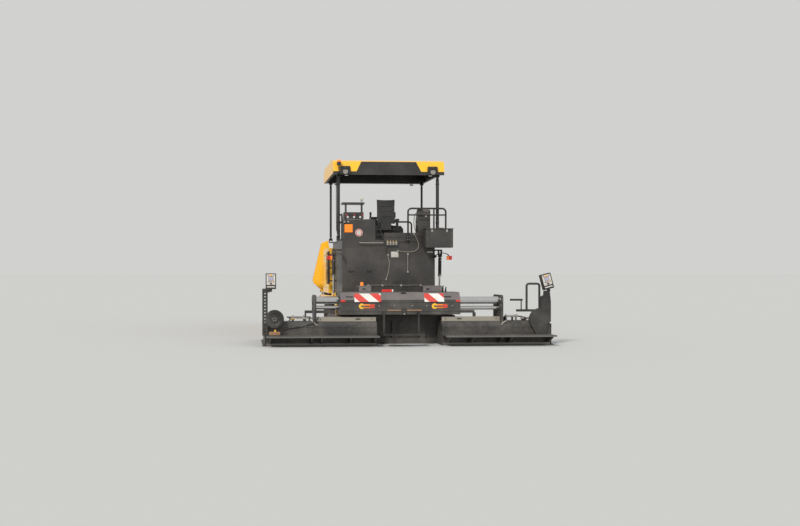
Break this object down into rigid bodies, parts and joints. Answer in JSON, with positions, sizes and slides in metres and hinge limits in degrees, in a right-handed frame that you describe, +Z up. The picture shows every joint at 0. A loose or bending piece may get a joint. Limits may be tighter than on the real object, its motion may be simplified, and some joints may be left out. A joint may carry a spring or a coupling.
{
  "type": "tracked asphalt paver",
  "caption": "Tracked asphalt paver with a folding roof, slat conveyors, augers and a telescopic screed drawn out to both sides.",
  "frame": {"origin": "on the ground, at the middle of the main screed sole on the tractor centreline", "axes": "+Y is the travel direction, +X the right-hand side, +Z up"},
  "size_m": [6.075, 6.94, 4.05],
  "materials": {
    "chassis_steel": "matt dark grey paint, dusty",
    "track_rubber": "worn dusty rubber",
    "worn_steel": "worn bare steel",
    "engine_iron": "cast",
    "yellow_paint": "satin yellow paint",
    "body_grey": "satin dark warm grey paint",
    "black_paint": "satin black paint",
    "screed_grey": "dark grey paint with asphalt grime",
    "cover_grey": "satin mid grey paint",
    "chrome_rod": "polished hard chrome",
    "seat_fabric": "dark grey woven cover",
    "seat_plastic": "matt black",
    "lamp_red": "red lens",
    "lamp_glass": "clear lens",
    "galvanised": "dusty galvanised sheet",
    "hose_rubber": "pale dusty hose"
  },
  "bodies": {
    "tractor": {"chassis_frame": "chassis_steel", "chassis_fittings": "chassis_steel", "track_left": "track_rubber", "track_right": "track_rubber", "track_gear_left": "chassis_steel", "track_gear_right": "chassis_steel", "conveyors": "worn_steel", "conveyor_shafts": "worn_steel", "engine_block": "engine_iron", "engine_hood": "yellow_paint", "rear_body": "body_grey", "deck": "black_paint", "handrails": "black_paint", "steps": "black_paint", "seat_base": "seat_plastic", "seat_cushion": "seat_fabric", "seat_back": "seat_fabric", "consoles": "body_grey", "locker_box": "body_grey", "tail_lamps": "lamp_red", "rear_hoses": "hose_rubber"},
    "locker_lid": {"locker_lid": "body_grey"},
    "hood_lid": {"hood_lid": "black_paint"},
    "side_door_left": {"side_door_left": "yellow_paint"},
    "side_door_right": {"side_door_right": "yellow_paint"},
    "rear_posts": {"roof_posts_rear": "black_paint"},
    "front_posts": {"roof_posts_front": "black_paint"},
    "roof": {"roof": "black_paint", "roof_lamps": "lamp_glass"},
    "screed": {"tow_arms": "yellow_paint", "screed_box": "screed_grey", "guide_housing": "cover_grey", "screed_fittings": "cover_grey", "screed_foot_board": "black_paint"},
    "lift_barrels": {"lift_barrels": "black_paint"},
    "lift_rods": {"lift_rods": "chrome_rod"},
    "extension_left": {"extension_left": "screed_grey", "top_channel_left": "galvanised", "guide_tubes_left": "chrome_rod", "control_stand_left": "black_paint"},
    "extension_right": {"extension_right": "screed_grey", "top_channel_right": "galvanised", "guide_tubes_right": "chrome_rod", "control_stand_right": "black_paint"},
    "end_gate_left": {"end_gate_left": "black_paint"},
    "end_gate_right": {"end_gate_right": "black_paint"},
    "auger_carrier": {"auger_carrier": "chassis_steel"},
    "auger_left": {"auger_flight_left": "worn_steel", "auger_shaft_left": "worn_steel"},
    "auger_right": {"auger_flight_right": "worn_steel", "auger_shaft_right": "worn_steel"},
    "push_beam": {"push_beam": "black_paint"},
    "push_roller_left": {"push_roller_left": "worn_steel"},
    "push_roller_right": {"push_roller_right": "worn_steel"},
    "wing_left": {"wing_left": "yellow_paint"},
    "wing_right": {"wing_right": "yellow_paint"},
    "wing_barrel_left": {"wing_barrel_left": "black_paint"},
    "wing_barrel_right": {"wing_barrel_right": "black_paint"},
    "wing_rod_left": {"wing_rod_left": "chrome_rod"},
    "wing_rod_right": {"wing_rod_right": "chrome_rod"}
  },
  "joints": [
    {"name": "screed_lift", "type": "hinge", "parent": "tractor", "child": "screed", "pos_m": [0, 3.75, 0.86], "axis": [-1, 0, 0], "range_deg": [0, 7.5]},
    {"name": "lift_barrel_turn", "type": "hinge", "parent": "tractor", "child": "lift_barrels", "pos_m": [0, 0.96, 1.9], "axis": [1, 0, 0], "range_deg": [0, 5.55]},
    {"name": "lift_rod_slide", "type": "slide", "parent": "lift_barrels", "child": "lift_rods", "axis": [0, -0.0454, 0.999], "range_m": [0, 0.3534]},
    {"name": "extension_left_slide", "type": "slide", "parent": "screed", "child": "extension_left", "axis": [-1, 0, 0], "range_m": [-0.49, 0.745]},
    {"name": "extension_right_slide", "type": "slide", "parent": "screed", "child": "extension_right", "axis": [1, 0, 0], "range_m": [-0.85, 0.385]},
    {"name": "end_gate_left_slide", "type": "slide", "parent": "extension_left", "child": "end_gate_left", "axis": [0, 0, 1], "range_m": [0, 0.15]},
    {"name": "end_gate_right_slide", "type": "slide", "parent": "extension_right", "child": "end_gate_right", "axis": [0, 0, 1], "range_m": [0, 0.15]},
    {"name": "auger_height", "type": "slide", "parent": "tractor", "child": "auger_carrier", "axis": [0, 0, 1], "range_m": [0, 0.12]},
    {"name": "auger_left_turn", "type": "hinge", "parent": "auger_carrier", "child": "auger_left", "pos_m": [0, 0.55, 0.33], "axis": [1, 0, 0], "continuous": true},
    {"name": "auger_right_turn", "type": "hinge", "parent": "auger_carrier", "child": "auger_right", "pos_m": [0, 0.55, 0.33], "axis": [1, 0, 0], "continuous": true},
    {"name": "push_beam_swing", "type": "hinge", "parent": "tractor", "child": "push_beam", "pos_m": [0, 5.595, 0.48], "axis": [0, 0, 1], "range_deg": [-6, 6]},
    {"name": "push_roller_left_turn", "type": "hinge", "parent": "push_beam", "child": "push_roller_left", "pos_m": [0, 5.845, 0.48], "axis": [1, 0, 0], "continuous": true},
    {"name": "push_roller_right_turn", "type": "hinge", "parent": "push_beam", "child": "push_roller_right", "pos_m": [0, 5.845, 0.48], "axis": [1, 0, 0], "continuous": true},
    {"name": "wing_left_fold", "type": "hinge", "parent": "tractor", "child": "wing_left", "pos_m": [-0.73, 4.5, 0.7], "axis": [0, -1, 0], "range_deg": [-15, 25]},
    {"name": "wing_right_fold", "type": "hinge", "parent": "tractor", "child": "wing_right", "pos_m": [0.73, 4.5, 0.7], "axis": [0, 1, 0], "range_deg": [-15, 25]},
    {"name": "wing_barrel_left_turn", "type": "hinge", "parent": "tractor", "child": "wing_barrel_left", "pos_m": [-0.96, 4.56, 0.43], "axis": [0, -1, 0], "range_deg": [-10.89, 18.15]},
    {"name": "wing_barrel_right_turn", "type": "hinge", "parent": "tractor", "child": "wing_barrel_right", "pos_m": [0.96, 4.56, 0.43], "axis": [0, 1, 0], "range_deg": [-10.89, 18.15]},
    {"name": "wing_rod_left_slide", "type": "slide", "parent": "wing_barrel_left", "child": "wing_rod_left", "axis": [-0.3113, 0, 0.9503], "range_m": [-0.1358, 0.0816]},
    {"name": "wing_rod_right_slide", "type": "slide", "parent": "wing_barrel_right", "child": "wing_rod_right", "axis": [0.3113, 0, 0.9503], "range_m": [-0.1358, 0.0816]},
    {"name": "hood_lid_open", "type": "hinge", "parent": "tractor", "child": "hood_lid", "pos_m": [0, 3.768, 2.128], "axis": [-1, 0, 0], "range_deg": [0, 40]},
    {"name": "side_door_left_open", "type": "hinge", "parent": "tractor", "child": "side_door_left", "pos_m": [-1.178, 3.828, 1.49], "axis": [0, 0, -1], "range_deg": [0, 100]},
    {"name": "side_door_right_open", "type": "hinge", "parent": "tractor", "child": "side_door_right", "pos_m": [1.178, 3.828, 1.49], "axis": [0, 0, 1], "range_deg": [0, 100]},
    {"name": "locker_lid_open", "type": "hinge", "parent": "tractor", "child": "locker_lid", "pos_m": [1.065, 0.688, 2.501], "axis": [-1, 0, 0], "range_deg": [0, 85]},
    {"name": "roof_fold", "type": "hinge", "parent": "tractor", "child": "rear_posts", "pos_m": [0, 0.83, 2.31], "axis": [-1, 0, 0], "range_deg": [0, 62]},
    {"name": "roof_front_posts", "type": "hinge", "parent": "tractor", "child": "front_posts", "pos_m": [0, 2.42, 2.31], "axis": [-1, 0, 0], "range_deg": [0, 62]},
    {"name": "roof_level", "type": "hinge", "parent": "rear_posts", "child": "roof", "pos_m": [0, 0.83, 3.68], "axis": [1, 0, 0], "range_deg": [0, 62]}
  ],
  "couplings": [
    {"joint": "lift_barrel_turn", "follows": "screed_lift", "ratio": 0.74},
    {"joint": "lift_rod_slide", "follows": "screed_lift", "m_per_rad": 2.7},
    {"joint": "wing_barrel_left_turn", "follows": "wing_left_fold", "ratio": 0.726},
    {"joint": "wing_rod_left_slide", "follows": "wing_left_fold", "m_per_rad": -0.311},
    {"joint": "wing_barrel_right_turn", "follows": "wing_right_fold", "ratio": 0.726},
    {"joint": "wing_rod_right_slide", "follows": "wing_right_fold", "m_per_rad": -0.311},
    {"joint": "roof_front_posts", "follows": "roof_fold", "ratio": 1},
    {"joint": "roof_level", "follows": "roof_fold", "ratio": 1}
  ]
}
